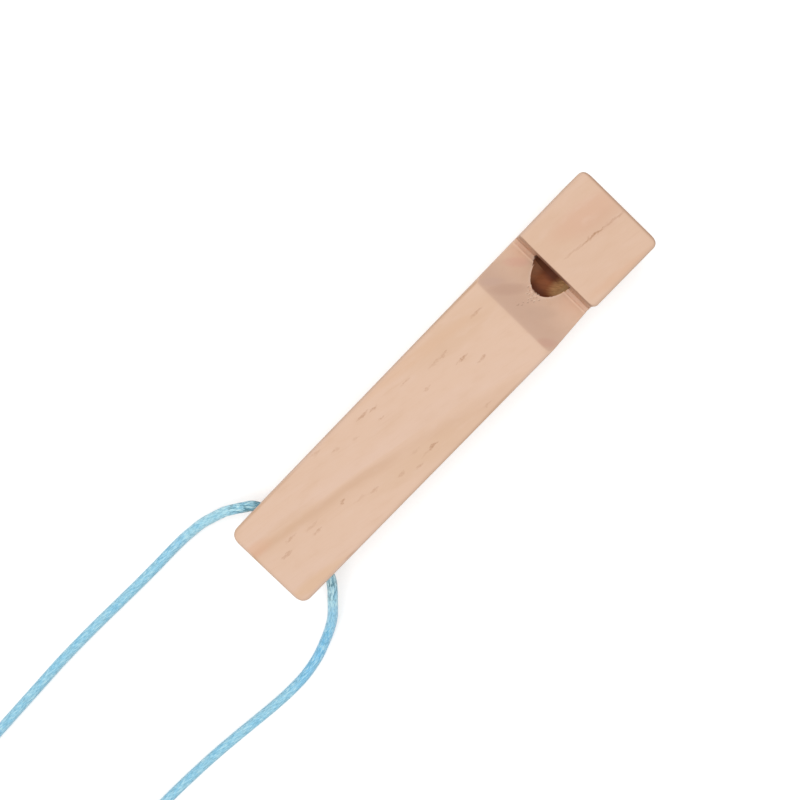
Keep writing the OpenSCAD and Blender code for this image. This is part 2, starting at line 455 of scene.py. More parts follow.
# routes in mm: along from the hole's axis, across from the body's middle, up from the table
# left strand: out of the hole, down to the table and back to the coil
leftRoute = [
    (0, 0, 9), (0, 4, 9), (0, 7.5, 9), (0, 8.9, 9), (-0.3, 10, 8.9),
    (-1.1, 11, 8.7), (-2.35, 11.8, 8.4), (-4, 12.85, 7.9), (-6.4, 14.1, 6.8), (-9.3, 15, 5.2),
    (-12.3, 15.8, 3.5), (-15.3, 16.2, 2.1), (-18.4, 16.5, 1.3), (-22.5, 16.6, 1.1), (-27, 16.6, 1.1),
    (-33, 16.7, 1.1), (-39, 16.9, 1.1), (-45, 17.1, 1.1), (-51, 17.2, 1.1), (-57, 17.2, 1.1),
    (-63, 17, 1.1), (-69, 16.8, 1.1), (-75, 16.6, 1.1), (-81, 16.4, 1.1), (-87, 16.3, 1.1),
    (-93, 16.4, 1.1), (-99, 16.5, 1.1), (-105, 16.5, 1.1), (-111, 16.5, 1.1),
]
# right strand: out of the hole, down to the table and back to the knot
rightRoute = [
    (0, 0, 9), (0, -4, 9), (0, -8, 9), (-0.05, -9.7, 9), (-0.6, -11.2, 8.8),
    (-2, -12.9, 8.2), (-4.3, -15, 6.9), (-7.3, -17.5, 4.8), (-10.5, -19.3, 2.9), (-13.8, -20.7, 1.5),
    (-17.3, -21.9, 1.1), (-22, -22.7, 1.1), (-27, -22.8, 1.1), (-32, -22.5, 1.1), (-37, -22, 1.1),
    (-43, -21.4, 1.1), (-49, -20.9, 1.1), (-55, -20.6, 1.1), (-61, -20.4, 1.2), (-67, -20.3, 1.9),
    (-73, -20.2, 2.7), (-77.1, -20.25, 3.2), (-81.5, -20.25, 3.2), (-85.5, -20.1, 3.2),
]
# from the coil's upper layer to the other side of the knot
tailRoute = [
    (-111, -15.5, 3.8), (-108.8, -15.5, 3.8), (-102, -16, 3.6), (-98, -16.9, 3.4),
    (-95.5, -17.4, 3.3), (-92.7, -17.75, 3.2), (-90.5, -17.75, 3.2), (-86.5, -18.0, 3.2),
]


# coil(t) after t turns: the radius shrinks to the middle and grows again, the height climbs one
# layer in the middle half turn, and both layers rise where they cross the tape
def coilRoute():
    turns, points = cord["coilTurns"], cord["turnPoints"]
    t = np.arange(0, turns * points + 1) / points
    angle = np.radians(90 + 360 * t)
    r = cord["coilRadius"] - cord["coilPitch"] * np.minimum(t, turns - t)
    climb = eased(2 * (t - turns / 2) + 0.5)
    lift = np.clip(-np.cos(angle), 0, None) ** 6
    x = cord["coilAt"][0] + r * np.cos(angle)
    y = cord["coilAt"][1] + r * np.sin(angle)
    z = cord["lying"] + cord["coilPitch"] * climb + cord["tapeLift"] * lift
    return np.stack([x, y, z], 1)


def layCord(name, points, side, finish, *nodes):
    line = smoothLine(points, cord["step"]) + (cord["holeX"], 0, 0)
    rings = tubeRings(line, cord["radius"], cord["sides"])
    piece = addPiece(name, tubeMesh(name, [rings]), finish, "satin_cord", *nodes)
    exit = (cord["holeX"] * mm, side * cord["exitY"] * mm, cord["holeZ"] * mm)
    return piece, exit, line * mm


knot = {
    "wrapAcross": 2.45,  # mm from the knot's axis to the middle of the wound cord, sideways
    "wrapUp": 2.18,      # and up
    "wraps": 2.5,        # turns in each half
    "wrapFrom": 0.75,    # mm from the knot's middle to a half's first turn
    "wrapLong": 2.8,     # and on to the half's last turn
    "dive": 0.10,        # share of the winding that dives to the axis, at each end
    "tucked": 0.35,      # share of its size that it dives to
    "wound": 1.0,        # radius of the cord where it is pulled tight
    "cutEnd": 7.0,       # mm that a cut end stands out of its half
    "points": 120,
    "sides": 14,
    "step": 0.2,
}


# wrap(t) = oval helix round the axis that dives to it at both ends; each cut end starts
# in the other half, so that the two halves hang together
def knotTubes():
    tubes = []
    place = np.array(cord["knotAt"]) + (cord["holeX"], 0, 0)
    t = np.linspace(0, 1, knot["points"])
    out = eased(np.minimum(t, 1 - t) / knot["dive"])
    size = knot["tucked"] + (1 - knot["tucked"]) * out
    angle = 2 * np.pi * knot["wraps"] * t - 0.4 * np.pi
    far = cord["knotHalf"] + knot["cutEnd"]
    for side in (-1, 1):
        wrap = np.stack([
            side * (knot["wrapFrom"] + knot["wrapLong"] * t),
            side * knot["wrapAcross"] * size * np.cos(angle),
            knot["wrapUp"] * size * np.sin(angle),
        ], 1)
        tubes.append(tubeRings(wrap + place, knot["wound"], knot["sides"], (1, 0, 0)))
        y = side * cord["strandApart"]
        end = smoothLine([
            (side * -1.8, 0.8 * y, 0), (side * 0.5, 0.8 * y, 0), (side * 3, 0.9 * y, 0),
            (side * 6, y, 0), (side * 9, y * 1.1, -0.4), (side * far, y * 1.5, -1.0),
        ], knot["step"])
        radius = domed(runAlong(end), cord["radius"], 0.4, 0.5)
        tubes.append(tubeRings(end + place, radius, knot["sides"]))
    return tubes


tape = {
    "width": 3.0,
    "thick": 0.3,
    "slack": 0.12,
    "corner": 1.0,    # mm, radius of the bends round the bundle
    "lap": 3.1,       # mm past the middle of the top where the loose end stops
    "lapFrom": 6.0,   # mm before its end where the tape starts to climb over its first turn
    "lapClimb": 2.2,  # mm that the climb takes
    "lapGap": 0.03,
    "curlFrom": 1.6,  # mm before its end where it starts to curl up
    "curl": 0.35,
    "points": 150,
    "yarn": (226, 216, 192),
    "pale": (244, 238, 222),
    "aged": (214, 200, 170),
}


def cottonFinish():
    cotton = Nodes(bpy.data.materials.new("cotton tape"))
    place = cotton.add("ShaderNodeTexCoord", None, None, "Object")
    fibre = cotton.noise(place, 2600.0, 4.0, 0.65)
    cloud = cotton.noise(place, 420.0, 2.0)
    base = cotton.coats(paint(tape["yarn"]), tape, [
        (cotton.rise(fibre, 0.35, 0.7), "pale"),
        (cotton.rise(cloud, 0.5, 0.8) * 0.4, "aged"),
    ])
    bump = cotton.bump(fibre, 0.4, 0.00005)
    return cotton.finish({"Base Color": base, "Roughness": 0.72 + cloud * 0.15, "Normal": bump})


# band(s) = a rounded oblong wound once round the bundle and a little over itself
def tapeRings():
    pitch = cord["coilPitch"]
    inward = math.floor(cord["coilTurns"] / 2 - 0.25)
    tall = pitch + 2 * cord["radius"]
    bundle = np.array([pitch * inward + 2 * cord["radius"], tall])
    inner = bundle / 2 + tape["slack"] + tape["thick"] / 2
    corners = []
    for start, sx, sy in ((90, -1, 1), (180, -1, -1), (270, 1, -1), (0, 1, 1)):
        a = np.radians(np.linspace(start, start + 90, 9))
        centre = (inner - tape["corner"]) * (sx, sy)
        corners.append(centre + tape["corner"] * np.stack([np.cos(a), np.sin(a)], 1))
    top = inner[1]
    line = np.vstack([(0, top), *corners, (0, top), (-2.0, top), (-tape["lap"], top)])
    fromEnd = runAlong(line)[-1] * np.linspace(1, 0, tape["points"])
    line = evenly(line, tape["points"])
    lap = eased((tape["lapFrom"] - fromEnd) / tape["lapClimb"])
    curl = np.clip(1 - fromEnd / tape["curlFrom"], 0, 1) ** 2 * tape["curl"]
    along = unit(np.gradient(line, axis=0))
    normal = np.stack([along[:, 1], -along[:, 0]], 1)
    line = line + normal * ((tape["thick"] + tape["lapGap"]) * lap + curl)[:, None]
    half, flat = tape["width"] / 2, tape["thick"] / 2
    profile = np.array([
        (-half, -flat), (-half, flat), (0, flat), (half, flat), (half, -flat), (0, -flat),
    ])
    x = line[:, None, 0] + normal[:, None, 0] * profile[None, :, 1]
    z = line[:, None, 1] + normal[:, None, 1] * profile[None, :, 1]
    y = np.broadcast_to(profile[None, :, 0], x.shape)
    toBundle = cord["coilRadius"] - pitch * (0.25 + inward / 2)
    coilX, coilY = cord["coilAt"]
    middle = (cord["holeX"] + coilX - toBundle, coilY, cord["tapeLift"] + tall / 2)
    return np.stack([x, y, z], -1) + middle


# each strand has its own copy of the satin, lit and shaded by its painted tones
leftSatin = satinFinish("satin of the left strand", satin["leftTones"])
rightSatin = satinFinish("satin of the right strand", satin["rightTones"])
knotSatin = satinFinish("satin of the knot")
leftPoints = np.vstack([leftRoute, coilRoute(), tailRoute])
leftCord, leftExit, leftLine = layCord(
    "neck_cord_left", leftPoints, 1, leftSatin, "cord_left", "cord_coil", "cord_tail")
rightCord, rightExit, rightLine = layCord(
    "neck_cord_right", rightRoute, -1, rightSatin, "cord_right")
knotMesh = tubeMesh("neck_knot", knotTubes())
neckKnot = addPiece("neck_knot", knotMesh, knotSatin, "satin_cord", "cord_knot")
tapeMesh = tubeMesh("coil_tape", [tapeRings()])
coilTape = addPiece("coil_tape", tapeMesh, cottonFinish(), "tape", "coil_tie")

body = {
    "length": 98.0,
    "width": 20.0,
    "height": 18.0,
    "edge": 0.9,         # radius of the sanded long edges
    "tailCorner": 2.1,   # radius of the upright corners at the tail, seen from above
    "mouthCorner": 1.5,  # and at the mouth
    "wallX": 31.7,
    "wallEdge": 0.2,     # break of the wall's top edge
    "rampX": 19.65,
    "kerf": 0.9,
    "depth": 6.5,        # of the ramp's foot below the top
    "kerfExtra": 0.4,    # the saw cut goes this much deeper
    "ridge": 0.35,       # flat land between the ramp's foot and the saw cut
    "ridgeSoft": 0.05,   # how softly the ramp meets that land
    "leftCorner": 0.4,   # radius of the upright corner beside the notch, on the left
    "rightCorner": 1.1,  # and on the right
    "sawnEdge": 0.25,    # break of the edges beside the ramp
    "rampSoft": 0.30,    # how softly the ramp leaves the top face
    "boreRadius": 4.5,
    "boreFrom": -33.0,
    "boreZ": 9.5,
    "boreFlare": 0.6,    # at the mouth end
    "windwayWide": 8.4,  # the flat slot over the plug
    "windwayLow": 13.3,
    "windwayHigh": 14.9,
    "plugFrom": 33.2,
    "chip": 0.75,        # wood torn off beside the windway's mouth, on the left
    "holeRadius": 2.0,
    "holeRim": 0.5,
    "sharp": 32,         # degrees between faces from which an edge stays sharp
}


# inset at s from an end that is rounded with radius r
def rounding(s, r):
    return r - np.sqrt(r * r - np.clip(r - s, 0, r) ** 2)


# section(x) = oblong with round corners; its top follows the notch, and both ends shrink to a round
def bodyRings():
    half, edge = body["length"] / 2, body["edge"]
    quarterTurn = 1 - np.cos(np.linspace(0, np.pi / 2, 10))
    wall, begin = body["wallX"], body["rampX"]
    foot = wall - body["kerf"]
    floor = body["depth"] + body["kerfExtra"]
    x = np.concatenate([
        -half + body["tailCorner"] * quarterTurn,
        np.linspace(-half + 3, begin - 1.4, 36),
        np.linspace(begin - 1.2, begin + 1.8, 16),
        np.linspace(begin + 2.1, foot - 0.8, 16),
        np.linspace(foot - 0.6, foot - 0.15, 10),
        foot + np.array([-0.10, -0.06, -0.03, 0.0, 0.01, 0.06]),
        np.linspace(foot + 0.2, wall, 6),
        wall + 0.004 + body["rightCorner"] * quarterTurn,
        np.linspace(wall + body["rightCorner"] + 0.5, half - 3, 8),
        (half - body["mouthCorner"] * quarterTurn)[::-1],
    ])
    slope = body["depth"] / (foot - begin)
    soft, crisp = body["rampSoft"], body["ridgeSoft"]
    ramp = slope * soft * np.logaddexp(0, (x - begin) / soft)
    land = body["depth"] - slope * body["ridge"]
    ramp = ramp - crisp * np.logaddexp(0, (ramp - land) / crisp)
    drop = np.where(x > foot, floor, ramp + np.clip(x - foot + 0.10, 0, None) ** 2 * 5)
    drop = np.where(x > wall, rounding(x - wall, body["wallEdge"]), drop)
    fromEnd = half - np.abs(x)
    rise = rounding(fromEnd, edge)
    endCorner = np.where(x < 0, body["tailCorner"], body["mouthCorner"])
    width = body["width"] / 2 - rounding(fromEnd, endCorner)
    top = body["height"] - rise - drop
    inNotch = (x > begin - 2) & (x <= wall)
    edgeTop = np.where(inNotch, np.clip(edge - drop, body["sawnEdge"], None), edge)
    ledge = np.minimum(body["height"] - floor - 0.1, top - edgeTop - 0.05)
    quarter = np.linspace(0, np.pi / 2, 8)[None, 1:]

    # half a section, from the middle of the back round one side to the middle of the top
    def halfSection(corner):
        tucked = width - np.where(x > wall, rounding(x - wall, corner), 0)
        w, n, ease, shelf = (a[:, None] for a in (width, tucked, edgeTop, ledge))
        low, high = (rise + edge)[:, None], (top - edgeTop)[:, None]
        t = np.linspace(0, 1, 6)[None]
        parts = [((w - edge) * t, low - edge + 0 * t)]
        parts.append((w - edge * (1 - np.sin(quarter)), low - edge * np.cos(quarter)))
        t = np.linspace(0, 1, 4)[None, 1:]
        parts.append((w + 0 * t, low + (shelf - low) * t))
        t = np.linspace(0, 1, 5)[None]
        parts.append((n + 0 * t, shelf + 0.03 + (high - shelf - 0.03) * t))
        parts.append((n - ease * (1 - np.cos(quarter)), high + ease * np.sin(quarter)))
        t = np.linspace(1, 0, 9)[None, 1:]
        parts.append(((n - ease) * t, high + ease + 0 * t))
        return [np.hstack([part[k] for part in parts]) for k in (0, 1)]

    yl, zl = halfSection(body["leftCorner"])
    yr, zr = halfSection(body["rightCorner"])
    y = np.hstack([yl, -yr[:, -2:0:-1]])
    z = np.hstack([zl, zr[:, -2:0:-1]])
    return np.stack([np.broadcast_to(x[:, None], y.shape), y, z], -1)


# rings joined to a closed skin with one flat face over each end
def skinMesh(name, rings):
    n, m = rings.shape[:2]
    i, j = np.meshgrid(np.arange(n - 1), np.arange(m), indexing="ij")
    k = (j + 1) % m
    walls = np.stack([i * m + j, i * m + k, (i + 1) * m + k, (i + 1) * m + j], -1)
    faces = walls.reshape(-1, 4).tolist()
    faces += [list(range(m))[::-1], list(range((n - 1) * m, n * m))]
    mesh = bpy.data.meshes.new(name)
    mesh.from_pydata((rings.reshape(-1, 3) * mm).tolist(), [], faces)
    mesh.update()
    work = bmesh.new()
    work.from_mesh(mesh)
    bmesh.ops.recalc_face_normals(work, faces=work.faces)
    work.to_mesh(mesh)
    work.free()
    return mesh


# turned(s, a) = a profile of (place along the axis, radius) carried round the axis
def turnedRings(profile, origin, axis, side, sides=72):
    p = np.asarray(profile, float)
    a = 2 * np.pi * np.arange(sides) / sides
    axis, side = np.array(axis, float), np.array(side, float)
    third = np.cross(axis, side)
    rim = np.cos(a)[:, None] * side + np.sin(a)[:, None] * third
    return np.array(origin) + p[:, None, :1] * axis + p[:, None, 1:] * rim[None]


# drilled in from the mouth end, a little flared there
def boreCutter():
    r, end, flare = body["boreRadius"], body["length"] / 2, body["boreFlare"]
    profile = [(body["boreFrom"], r), (end - flare / 2, r), (end + flare / 2, r + flare)]
    return skinMesh("bore", turnedRings(profile, (0, 0, body["boreZ"]), (1, 0, 0), (0, 1, 0)))


# drilled from side to side, with a rounded rim at both
def holeCutter():
    r, rim, side = body["holeRadius"], body["holeRim"], body["width"] / 2
    turn = np.linspace(0, np.pi / 2, 6)
    flare = np.stack([side - rim + rim * np.sin(turn), r + rim * (1 - np.cos(turn))], 1)
    flare = np.vstack([flare, (side + 1, r + rim)])
    profile = np.vstack([flare[::-1] * (-1, 1), flare])
    origin = (cord["holeX"], 0, cord["holeZ"])
    return skinMesh("hole", turnedRings(profile, origin, (0, 1, 0), (1, 0, 0), 48))


# the flat slot over the plug, and the room before the plug with the chip on its left
def windwayCutters():
    side, low, high = body["windwayWide"] / 2, body["windwayLow"], body["windwayHigh"]
    near, far, chip = body["wallX"], body["plugFrom"], body["chip"]
    start, stop = near - 0.4, body["length"] / 2 + 1
    corners = [(-side, low), (side, low), (side, high), (-side, high)]
    slot = [[(x, *corner) for corner in corners] for x in (start, stop)]
    plan = [
        (start, -side), (far, -side), (far, side), (near + 0.9, side), (near + 0.8, side + chip),
        (near, side + chip), (near - 1.8, side - 0.25), (start, side - 0.3),
    ]
    mouth = [[(x, y, z) for x, y in plan] for z in (body["boreZ"], high - 0.01)]
    return [skinMesh("windway", np.array(slot)), skinMesh("windway mouth", np.array(mouth))]


def cutFrom(piece, cutters):
    for cutter in cutters:
        tool = newObject("cutter", cutter)
        cut = piece.modifiers.new("cut", "BOOLEAN")
        cut.operation = "DIFFERENCE"
        cut.solver = "EXACT"
        cut.object = tool
        bpy.context.view_layer.update()
        settled = piece.evaluated_get(bpy.context.evaluated_depsgraph_get())
        done = bpy.data.meshes.new_from_object(settled)
        piece.modifiers.clear()
        old = piece.data
        piece.data = done
        bpy.data.meshes.remove(old)
        bpy.data.objects.remove(tool)
        bpy.data.meshes.remove(cutter)


def carveBody():
    piece = newObject("pine_body", skinMesh("pine_body", bodyRings()))
    cutFrom(piece, [boreCutter(), holeCutter(), *windwayCutters()])
    mesh = piece.data
    mesh.name = "pine_body"
    mesh.polygons.foreach_set("use_smooth", np.ones(len(mesh.polygons), bool))
    mesh.set_sharp_from_angle(angle=math.radians(body["sharp"]))
    even = piece.modifiers.new("even shading", "WEIGHTED_NORMAL")
    even.keep_sharp = True
    even.weight = 80
    return piece


pine = {
    "lean": 0.19,         # mm across the body that the grain moves per mm along it
    "ringWide": 11.3,     # mm between growth rings on the top face
    "ringDeep": 3.1,      # and down the sides
    "ringAt": -3.5,       # mm across, where a ring ends on the top face at the body's middle
    "canalWide": 0.27,    # mm, half width of a resin canal
    "canalSlant": 0.05,   # mm across that it moves per mm along
    "mouthSlant": 0.125,  # and past the notch
    "rampLean": 0.75,     # the same for the stains on the ramp
    "nickWide": 0.2,      # mm, half width of a nick
    "nickSlant": 0.35,
    "relief": 0.00008,    # m
    "wood": (229, 194, 169),
    "late": (219, 180, 148),
    "pale": (231, 199, 180),
    "line": (206, 166, 135),
    "dull": (222, 187, 160),
    "streak": (213, 173, 143),
    "hair": (206, 163, 132),
    "mouthBlock": (214, 174, 144),
    "darkMottle": (220, 182, 152),
    "paleMottle": (232, 200, 180),
    "canal": (188, 142, 110),
    "cutEnd": (202, 158, 126),
    "pore": (176, 130, 98),
    "mouthEdgeShade": (188, 146, 118),
    "wall": (180, 134, 104),
    "overMouth": (136, 92, 72),
    "ramp": (204, 167, 146),
    "sawnAndLit": (240, 210, 188),
    "footHighlight": (244, 212, 188),
    "nick": (150, 106, 82),
    "nickHighlight": (246, 224, 206),
    "lip": (238, 210, 190),
    "bore": (174, 102, 60),
    "drillMark": (160, 92, 52),
    "boreShade": (112, 52, 28),
    "golden": (255, 206, 146),
    "corner": (255, 212, 154),
    "boreLeftLight": (214, 158, 122),
    "mouth": (120, 66, 40),
}

# resin canals on the top face: along, across, length in mm and strength
canals = [
    (-43.7, -0.7, 3.0, 0.55), (-41.0, 1.0, 2.4, 0.50), (-36.1, -0.3, 3.0, 0.35),
    (-36.0, -1.7, 2.2, 0.50), (-28.5, -1.3, 1.5, 0.80), (-25.5, -3.3, 2.4, 0.25),
    (-22.5, -4.1, 1.9, 0.45), (-16.6, -5.7, 1.3, 0.40), (-25.3, 9.0, 1.8, 0.40),
    (-22.3, 6.8, 1.7, 0.35), (-18.0, 5.5, 1.7, 0.30), (-13.7, 7.6, 2.2, 0.70),
    (-11.2, 7.0, 1.9, 0.70), (-11.5, 4.6, 0.9, 0.50), (-3.3, 6.2, 2.0, 0.40),
    (3.2, 4.7, 2.4, 0.40), (5.6, 4.6, 1.8, 0.50), (-1.5, 2.3, 1.5, 0.40),
    (7.3, 1.4, 2.3, 0.75), (10.2, -1.3, 2.1, 0.60), (15.8, 5.7, 2.4, 0.55),
    (-8.1, -6.2, 1.9, 0.95), (-10.0, -6.3, 2.4, 0.35), (-13.1, -7.1, 1.2, 0.55),
    (4.6, -8.1, 1.3, 0.40), (-11.5, -4.6, 1.4, 0.25), (37.0, 0.45, 5.0, 0.40),
    (40.2, 0.0, 3.0, 0.75), (41.9, -0.2, 2.6, 0.85), (45.8, -0.75, 6.0, 0.55),
]
# soft stains on the top face: along, across, half length, half width in mm, colour and strength
stains = [
    (-47.5, 4.3, 4.5, 1.6, (228, 176, 146), 0.45),
    (-40.0, 3.4, 9.0, 1.6, (220, 182, 150), 0.40),
    (-43.0, -8.4, 9.0, 1.4, (222, 182, 144), 0.50),
    (-10.0, -6.6, 15.0, 2.4, (221, 184, 152), 0.40),
    (10.0, 6.2, 13.0, 3.6, (220, 182, 150), 0.45),
    (-4.0, 8.9, 22.0, 1.3, (224, 182, 148), 0.35),
    (35.0, 5.0, 6.0, 4.5, (220, 182, 152), 0.40),
    (43.0, 3.6, 8.5, 3.0, (221, 174, 146), 0.55),
    (44.5, 0.6, 7.0, 2.2, (216, 174, 146), 0.45),
    (40.0, -8.9, 9.0, 1.2, (222, 176, 142), 0.40),
]
# and on the ramp
rampStains = [
    (23.3, 4.2, 3.4, 1.7, (196, 156, 136), 0.40),
    (20.8, -8.0, 1.8, 1.5, (208, 160, 140), 0.50),
    (28.2, 6.8, 2.2, 1.5, (222, 172, 154), 0.45),
    (24.5, -3.5, 2.6, 2.0, (208, 174, 152), 0.35),
    (22.0, 7.6, 2.2, 1.2, (206, 172, 158), 0.35),
]

# nicks where fibres tore out of the ramp at the lip: along, across and length in mm
nicks = [
    (22.4, 0.90, 0.5), (22.8, 0.30, 0.5), (23.4, 0.55, 0.4), (23.9, -0.20, 0.5),
    (24.4, 0.20, 0.4), (24.7, -0.40, 0.5), (25.1, 0.00, 0.5), (25.5, -0.30, 0.5),
    (25.9, -0.02, 0.5), (25.9, -0.65, 0.5), (25.4, 0.70, 0.4), (25.2, 1.15, 0.4),
    (26.0, 1.15, 0.5), (26.3, 1.80, 0.5), (25.1, -0.95, 0.4), (25.8, -1.40, 0.5),
]


# a slanted oval: squared distance from its middle, 1 at its rim, and the part of it across
def oval(x, y, along, over, halfLength, halfWidth, slant):
    a = x - along
    b = (y + a * slant - over) / halfWidth
    a = a / halfLength
    return a * a + b * b, b


# the bore as it shows in the window, brown with painted shade and with drill marks: a painted shadow
# behind the lip and under the wall, painted light on the left, and a golden pool of painted light on
# the right, brightest in its corner; left is the share of the painted shadow under the wall
def boreColour(wood, x, y, z, left):
    drill = wood.noiseAt(x * 2.2 + y * 1.4, z * 0.5, y * 0.5, 3.0, 0.6)
    fromWall = x - body["wallX"]
    behindLip = wood.rise(fromWall, -2.3, -3.9) * 0.8
    underWall = wood.rise(fromWall, -1.3, 0.0) * left * (0.7 - wood.rise(y, 2.5, 4.5) * 0.3)
    golden = wood.rise(y, -1.1, -3.5) * wood.rise(fromWall, -3.5, -1.5)
    corner = wood.rise(y, -3.3, -4.0) * wood.rise(fromWall, -2.1, -1.1)
    boreLeftLight = wood.rise(y, 0.8, 3.4) * wood.rise(fromWall, -4.5, -3.1)
    return wood.coats(paint(pine["bore"]), pine, [
        (wood.rise(drill, 0.35, 0.70), "drillMark"),
        (behindLip + underWall, "boreShade"),
        (golden * (0.6 + wood.rise(drill, 0.60, 0.40) * 0.4), "golden"),
        (corner * 0.8, "corner"),
        (boreLeftLight * 0.75, "boreLeftLight"),
    ])


# a growth ring is a slanted layer: pale wood that darkens slowly and ends at a thin line
# ring = across / wide + depth / deep, with across leaning along the body
def pineFinish():
    wood = Nodes(bpy.data.materials.new("sanded pine"))
    x, y, z = wood.place()
    alongNormal, sideNormal, upNormal = wood.facing()
    endGrain = wood.rise(abs(alongNormal), 0.70, 0.98)
    topFace = wood.rise(upNormal, 0.86, 0.97)
    rampFace = wood.rise(alongNormal, 0.25, 0.45) * wood.rise(upNormal, 0.6, 0.75)
    half, wallX, radius = body["length"] / 2, body["wallX"], body["boreRadius"]
    fromWall = x - wallX
    fromFoot = x - (wallX - body["kerf"])
    base = paint(pine["wood"])

    # a colour over what is there, by its share
    def lay(share, colour):
        nonlocal base
        base = wood.mix(share, base, paint(colour))

    slow = wood.noiseAt(x * 0.05, y * 0.10, z * 0.10)
    lean = y + x * pine["lean"] + (slow - 0.5) * 1.6
    ring = (lean - pine["ringAt"]) / pine["ringWide"] + (body["height"] - z) / pine["ringDeep"]
    phase = (ring + y * y * 0.003 + 20).math("FRACT")
    late = wood.rise(phase, 0.50, 0.84) * wood.rise(phase, 1.0, 0.84)
    line = wood.rise(phase, 0.70, 0.86) * wood.rise(phase, 1.0, 0.88)
    young = wood.rise(phase, 0.45, 0.05)
    patch = wood.noiseAt(x * 0.045, lean * 0.16, z * 0.16, 3.0)
    streak = wood.noiseAt(x * 0.10, lean * 2.6, z * 2.6, 4.0, 0.6)
    hair = wood.noiseAt(x * 0.45, lean * 11, z * 11, 3.0, 0.65)

    # on the top face the one ring that shows fades towards the mouth, and the ramp shows none
    firstRing = wood.rise(lean, pine["ringAt"] + 4.0, pine["ringAt"] + 2.0) * wood.rise(x, 34.0, -14.0)
    figure = 1 - topFace * (0.95 - firstRing * 0.55) - rampFace * 0.95
    lay(young * figure * 0.55, pine["pale"])
    lay(late * (0.30 + wood.rise(patch, 0.3, 0.7) * 0.5) * figure, pine["late"])
    lay(line * wood.rise(patch, 0.30, 0.65) * figure * 0.6, pine["line"])
    lay(wood.rise(patch, 0.52, 0.25) * 0.30, pine["dull"])
    lay(wood.rise(streak, 0.52, 0.80) * 0.22, pine["streak"])
    lay(wood.rise(hair, 0.52, 0.80) * 0.16, pine["hair"])
    lay(wood.rise(fromWall, -0.2, 0.1) * 0.16, pine["mouthBlock"])

    # stains on the top, and cloudy tones all over
    for along, over, halfLength, halfWidth, colour, strength in stains:
        far = oval(x, y, along, over, halfLength, halfWidth, pine["lean"] * 0.8)[0]
        lay(wood.rise(far, 1.3, 0.0) * topFace * strength, colour)
    mottle = wood.noiseAt(x * 0.22, lean * 0.55, z * 0.55)
    lay(wood.rise(mottle, 0.50, 0.78) * 0.30, pine["darkMottle"])
    lay(wood.rise(mottle, 0.48, 0.25) * 0.25, pine["paleMottle"])

    # resin canals, a little bent and broken, in their places on the top and strewn on the other faces
    broken = wood.rise(wood.noiseAt(x * 1.8, y * 12, 0, 2.0, 0.6), 0.36, 0.62) * 0.8 + 0.2
    bentX = x + (wood.noiseAt(x * 0.8, y * 2.4, 0) - 0.5) * 3.2
    bentY = y + (wood.noiseAt(x * 0.9, y * 1.6, 5) - 0.5) * 1.1
    canal = 0.0
    for along, over, length, strength in canals:
        slant = pine["mouthSlant"] if along > wallX else pine["canalSlant"]
        far = oval(bentX, bentY, along, over, length / 2, pine["canalWide"], slant)[0]
        canal = wood.rise(far, 1.9, 0.0) * strength + canal
    canal = canal * topFace * broken
    cells = wood.add("ShaderNodeTexVoronoi", {"feature": "F1"}, {
        "Vector": wood.vector(x * 0.11, lean * 0.9, z * 0.9),
        "Scale": 0.34,
        "Randomness": 1.0,
    }, "Distance")
    strewn = wood.rise(cells, 0.13, 0.04) * (1 - topFace) * (1 - endGrain) * (1 - rampFace)
    lay(canal + strewn * 0.4, pine["canal"])

    # browner cut ends with pores, painted shade on the rounded edge round the mouth end, and painted
    # shade on the notch's wall
    pores = wood.noiseAt(x * 0.3, y * 5, z * 5, 2.0, 0.6)
    cutEnd = endGrain * wood.rise(abs(x), half - 9, half - 5)
    lay(cutEnd * 0.45, pine["cutEnd"])
    lay(cutEnd * wood.rise(pores, 0.50, 0.72) * 0.35, pine["pore"])
    mouthEdgeShade = wood.rise(alongNormal, 0.15, 0.75) * wood.rise(alongNormal, 0.995, 0.95)
    lay(mouthEdgeShade * wood.rise(x, half - 5, half - 3) * 0.7, pine["mouthEdgeShade"])
    wall = wood.rise(fromWall, -1.7, -0.7) * wood.rise(fromWall, 1.3, 0.3)
    wall = wall * wood.rise(alongNormal, -0.6, -0.9)
    lay(wall * wood.rise(z, 12.0, 17.0) * 0.35, pine["wall"])
    # painted shade on the wall over the windway's mouth, darkest just over it
    overMouth = wall * wood.rise(abs(y - 0.8), 5.2, 3.0) * wood.rise(fromWall, 0.6, 0.2)
    lay(overMouth * wood.rise(z, 19.6, 15.6) * 0.85, pine["overMouth"])

    # the ramp is darker at its start and lighter towards its foot, painted light from the wall's
    # bounce; and it is stained
    lay(rampFace * wood.rise(fromFoot, -2.3, -8.8) * 0.60, pine["ramp"])
    for along, over, halfLength, halfWidth, colour, strength in rampStains:
        far = oval(x, y, along, over, halfLength, halfWidth, pine["rampLean"])[0]
        lay(wood.rise(far, 1.3, 0.0) * rampFace * strength, colour)

    # pale fresh wood with painted bounce light in the saw cut, more low down and less on the left, and
    # a painted highlight along the ramp's foot
    sawnAndLit = wood.rise(fromFoot, -0.1, 0.0) * wood.rise(fromWall, 1.3, 0.8) * wood.rise(z, 12.5, 10.5)
    sawnAndLit = sawnAndLit * wood.rise(abs(sideNormal), 0.6, 0.3) * wood.rise(upNormal, -0.5, -0.2)
    lay(sawnAndLit * (0.6 - wood.rise(y, 4.0, 6.0) * 0.45), pine["sawnAndLit"])
    footHighlight = wood.rise(fromFoot, -0.70, -0.15) * wood.rise(fromFoot, 0.10, -0.10)
    footHighlight = footHighlight * wood.rise(z, 13.0, 12.4) * wood.rise(upNormal, 0.2, 0.5)
    lay(footHighlight * 0.36, pine["footHighlight"])
